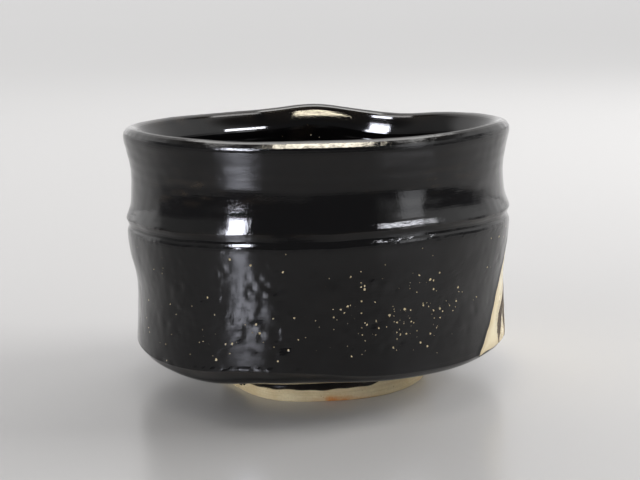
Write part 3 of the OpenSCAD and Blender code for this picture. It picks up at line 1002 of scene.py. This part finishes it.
# %% Foot ring piece
RING_COLUMNS, RECESS_R, RUBBED = 480, 25.4, 0.55
ring_a = (np.arange(RING_COLUMNS) * 360 / RING_COLUMNS)[None, :]
out = foot_out(ring_a)
into = RECESS_R + 0.25 * wave(ring_a, 3, 10) + 0.1 * wave(ring_a, 8, 50)
climb = np.linspace(0, 1, 22)
section = [(into, foot_h, 0)]
section += [(into - 0.06 * math.sin(9 * u), foot_h - (foot_h - RUBBED) * u, 0.5) for u in climb[1:]]
section += [(into + RUBBED * (1 - math.cos(u)), RUBBED * (1 - math.sin(u)), 0.3) for u in (0.5, 1.0, 1.571)]
section += [(into + RUBBED + (out - into - 2 * RUBBED) * u, 0 * u, 0) for u in np.linspace(0, 1, 15)[1:]]
section += [(out - RUBBED * (1 - math.sin(u)), RUBBED * (1 - math.cos(u)), 0.4) for u in (0.4, 0.8, 1.2)]
section += [(out, RUBBED + (foot_h - RUBBED) * u, 1) for u in climb]
ring_r, ring_z, ring_cut = (np.concatenate([row[k] + 0 * ring_a for row in section]) for k in range(3))
angle = np.radians(ring_a)
ring = turn(ring_r, ring_a, ring_z)
downhill = ring_z + 0.5 * wave(ring_a, 1, 40) + 0.25 * wave(ring_a, 4, 0)
tool_lines = np.sin(downhill * 5.2) * 0.5 + np.sin(downhill * 11.7 + 1) * 0.35
cut = 0.045 * tool_lines + 0.05 * soft_noise(ring, 3, 51) + 0.03 * soft_noise(ring, 1.1, 52)
torn = np.minimum(0, soft_noise(ring, 1.6, 53) + 0.9) * 0.16
push = np.stack([np.cos(angle), np.sin(angle), 0 * angle], -1) * ((cut + torn) * ring_cut)[..., None]
ring = ring + push * np.where(ring_r < (out + into) / 2, -1, 1)[..., None]
scorch = bump(ring_a, -84, 9) * hill(ring_z, 0, 1.5) * (ring_r > out - 3)
scorch = scorch + 0.35 * bump(ring_a, -70, 12) * hill(ring_z, 0, 0.8)
scorch = scorch + 0.6 * bump(ring_a, 70, 20) * (ring_z < 2)
scorch = np.clip(scorch * (0.9 + 0.5 * soft_noise(ring, 2.0, 54)), 0, 1)
vertices, faces, smooth = lathe(ring, ring=True)
make_piece("turned_foot", vertices, faces, smooth, {"scorch": scorch}, clay, "foot_ring", "clay")

# %% [markdown]
# ## The clay body
# Under the glaze is one turned shell. Most of it is hidden, so its rows are far apart there. They are close
# together where it shows: on the underside, where fingers kept the glaze off, and in the hollow of the foot,
# where the turning tool left a spiral that ends in a small nub.

# %% Clay body piece
CLAY_COLUMNS, RECESS_ROWS, SPIRAL_STEP = 360, 52, 3.1
clay_column = np.arange(CLAY_COLUMNS) * 360 / CLAY_COLUMNS
recess_r = np.linspace(0.6, RECESS_R + 0.2, RECESS_ROWS)[:, None]
spiral = np.sin(2 * math.pi * (recess_r / SPIRAL_STEP - clay_column[None] / 360))
nub = 0.9 * hill(recess_r, 0, 2.6)
recess = turn(recess_r, clay_column[None], foot_h - 0.02 - nub + 0.16 * (spiral - 1) * ease(recess_r / 5))
recess[..., 2] += 0.04 * soft_noise(recess, 2.5, 61) + 0.02 * soft_noise(recess, 0.9, 62)
clay_rows = np.concatenate([
    np.linspace(length_to(2.2), corner_at, 40),
    np.linspace(corner_at, length_to(CREST), 24)[1:],
    np.linspace(length_to(CREST), length_table[-1], 36)[1:],
])
clay_t, clay_columns = np.meshgrid(row_at(clay_rows), clay_column, indexing="ij")
clay_base, clay_a = surface(clay_t, clay_columns)
clay_facing = normals(clay_base)
clay_facing[-1] = (0, 0, 1)
scraped = 0.05 * np.sin(length_to(clay_t) * 3.3 + 2 * wave(clay_a, 1, 0))
scraped = (scraped + 0.05 * soft_noise(clay_base, 2.2, 63)) * between(clay_t, 2, 5.3, 0.5)
clay_skin = clay_base + (scraped - glaze_t)[..., None] * clay_facing
hidden_foot = turn(foot_r - 3.5, clay_column[None], foot_h)
clay_grid = np.concatenate([recess, hidden_foot, clay_skin])
clay_scorch = 0.25 * ease(soft_noise(clay_grid, 9, 64)) * (clay_grid[..., 2] < 14)
vertices, faces, smooth = lathe(clay_grid)
make_piece("thrown_body", vertices, faces, smooth, {"scorch": clay_scorch}, clay, "clay_body", "clay")

# %% [markdown]
# ## Drops on the foot
# Three drops ran on below the coat's edge at the front left and froze on the bare clay. Each is a low dome
# with a tail, made as rings of points that shrink towards its top, and closed by a flat back in the foot.

# %% Drops piece
drop_low, drop_high = box_mm("glaze_drops_on_foot")
drop_middle = (drop_low + drop_high) / 2
drop_at = math.degrees(math.atan2(drop_middle[1] - foot_y, drop_middle[0] - foot_x))
DROPS = [(-4.3, 0.05, 1.25, 0.5), (0.2, -0.15, 1.5, 0.55), (4.3, 0.3, 1.1, 0.45)]
RING_POINTS, RINGS, DROP_PROUD, DROP_SUNK = 28, 7, 0.42, 0.12


def drop_on_foot(off, height, half_wide, half_high):
    """Points and faces of one drop, off degrees round the foot from the middle one."""
    round_it = np.linspace(0, 2 * math.pi, RING_POINTS, endpoint=False)[None, :]
    shrink = np.cos(np.linspace(0, math.pi / 2 - 0.12, RINGS))[:, None]
    rise = DROP_PROUD * np.sin(np.linspace(0, math.pi / 2, RINGS))[:, None]
    tail = 1 + 0.25 * np.cos(round_it)
    sideways = half_wide * shrink * np.cos(round_it)
    high = drop_middle[2] + height + half_high * shrink * np.sin(round_it) * tail
    drop_a = drop_at + off + np.degrees(sideways / foot_r)
    return lathe(turn(foot_out(drop_a) - DROP_SUNK + rise, drop_a, high))


vertices, faces = [], []
for drop in DROPS:
    points, drop_faces, _ = drop_on_foot(*drop)
    faces += [[v + sum(len(p) for p in vertices) for v in face] for face in drop_faces]
    vertices.append(points)
make_piece(
    "glaze_drops", np.concatenate(vertices), faces, len(faces), {}, glossy_black,
    "glaze_drops_on_foot", "black_glaze",
)

# %% [markdown]
# ## Floor
# A pale table top with a satin shine, wide enough to fill the view behind the bowl. One big square does.

# %% Floor
FLOOR_HALF = 20
floor_mesh = bpy.data.meshes.new("floor")
floor_mesh.from_pydata([(x, y, 0) for x, y in ((-1, -1), (1, -1), (1, 1), (-1, 1))], [], [(0, 1, 2, 3)])
floor_mesh.transform(Matrix.Scale(FLOOR_HALF, 4))
floor = bpy.data.objects.new("floor", floor_mesh)
bpy.context.scene.collection.objects.link(floor)
floor_mesh.materials.append(new_material("pale_table", (0.65, 0.643, 0.64), 0.24, 1.4)[0])

# %% [markdown]
# ## Light
# A glossy black pot shows its room more than its own colour. Two windows at the front give the highlights:
# a tall one at the left and a long low one at the right. Warm lamps overhead give the small yellow lights
# in the lip, a glow of the ceiling greys its top, and a dim doorway greys the right side. These six are
# seen in the glaze and light nothing matt. Three more light the table and the clay, and aren't seen in the
# glaze: a fill in front, one at the side and one at the back.
#
# The doorway starts at the height of the table, which would mirror it as a white patch in a view from
# behind. Light linking lets it shine on the bowl alone.

# %% Lights
LIGHT_AIM = np.array([0, 0, 0.05])


def soft_panel(name, azimuth, elevation, distance, wide, high, brightness, tone, on_table=False, lean=0):
    """A panel of light that faces the bowl. Azimuth is from the front, positive to the right; wide and high
    are in degrees as the bowl sees them, and lean turns the panel in its own plane."""
    light = bpy.data.lights.new(name, "AREA")
    light.shape = "RECTANGLE"
    light.size = 2 * distance * math.tan(math.radians(wide / 2))
    light.size_y = 2 * distance * math.tan(math.radians(high / 2))
    light.energy = brightness * light.size * light.size_y * math.pi
    light.color = tone
    panel_object = bpy.data.objects.new(name, light)
    bpy.context.scene.collection.objects.link(panel_object)
    az, el, turned = (math.radians(v) for v in (azimuth, elevation, lean))
    away = np.array([math.sin(az) * math.cos(el), -math.cos(az) * math.cos(el), math.sin(el)])
    level = np.array([math.cos(az), math.sin(az), 0])
    over = np.cross(away, level)
    width_way = math.cos(turned) * level + math.sin(turned) * over
    height_way = math.cos(turned) * over - math.sin(turned) * level
    stand = away * distance + LIGHT_AIM
    rows = [[width_way[i], height_way[i], away[i], stand[i]] for i in range(3)]
    panel_object.matrix_world = Matrix([*rows, [0, 0, 0, 1]])
    panel_object.visible_camera = False
    panel_object.visible_diffuse = on_table
    panel_object.visible_glossy = not on_table
    print(f"{name}: {light.size:.2f} x {light.size_y:.2f} m, {light.energy:.1f} W")
    return panel_object


soft_panel("left_window", -46, 29, 1.6, 13, 33, 62, (0.86, 0.88, 1.0), lean=12)
soft_panel("right_window", 56, 29.5, 1.6, 30, 2.4, 64, (0.92, 0.93, 1.0), lean=-6)
soft_panel("ceiling_lamp", 5, 64, 1.5, 38, 6, 66, (1.0, 0.92, 0.76))
soft_panel("far_lamp", -7, 53.6, 1.5, 20, 0.9, 80, (1.0, 0.90, 0.68))
soft_panel("ceiling_glow", 0, 96, 1.5, 80, 40, 7, (1.0, 0.99, 0.97))
doorway = soft_panel("doorway", 54, 9, 1.6, 15, 18, 2.4, (0.95, 0.96, 1.0))
soft_panel("front_fill", -50, 12, 3.5, 50, 10, 9, (1.0, 0.98, 0.95), on_table=True)
soft_panel("side_light", 104, 25, 1.3, 34, 22, 9.2, (1.0, 0.99, 0.98), on_table=True)
soft_panel("back_light", 165, 36, 1.15, 42, 25, 1.3, (1.0, 0.99, 0.98), on_table=True)
bowl_only = bpy.data.collections.new("lit_by_the_doorway")
for thing in bpy.context.scene.objects:
    if thing.type == "MESH" and thing != floor:
        bowl_only.objects.link(thing)
doorway.light_linking.receiver_collection = bowl_only

# %% [markdown]
# ## The room
# The world stands for the room as the glaze mirrors it: dark in front, a bright wall at the right, a dimmer
# one at the left, a dark ceiling, and a bright wall behind. The camera itself sees only a pale tone, past the
# edge of the table. The room is made of soft steps along the heading of each ray.

# %% World
world = bpy.data.worlds.new("room")
bpy.context.scene.world = world
world.use_nodes = True
room = world.node_tree
room.nodes.clear()
heading = add(room, "ShaderNodeSeparateXYZ", Vector=add(room, "ShaderNodeTexCoord").outputs["Generated"])
ceiling = span(room, heading.outputs["Z"], 0.56, 0.68)
from_back = span(room, heading.outputs["Y"], 0.25, 0.5)
above_floor = span(room, heading.outputs["Z"], -0.2, 0.0)
wall_behind = times(room, from_back, above_floor)
raised = span(room, heading.outputs["Z"], 0.10, 0.25)
wall_right = times(room, span(room, heading.outputs["X"], 0.5, 0.8), raised)
wall_left = times(room, span(room, heading.outputs["X"], -0.5, -0.8), raised)
tone = blend(room, wall_right, (0.16, 0.16, 0.17), (1.1, 1.1, 1.1))
tone = blend(room, wall_left, tone, (0.4, 0.4, 0.4))
tone = blend(room, ceiling, tone, (0.12, 0.12, 0.12))
tone = blend(room, wall_behind, tone, (1.10, 1.09, 1.09))
seen = add(room, "ShaderNodeLightPath").outputs["Is Camera Ray"]
tone = blend(room, seen, tone, (0.76, 0.75, 0.75))
backdrop = add(room, "ShaderNodeBackground", Color=tone)
output = room.nodes.new("ShaderNodeOutputWorld")
room.links.new(backdrop.outputs[0], output.inputs[0])
bpy.context.scene.view_settings.view_transform = "Standard"
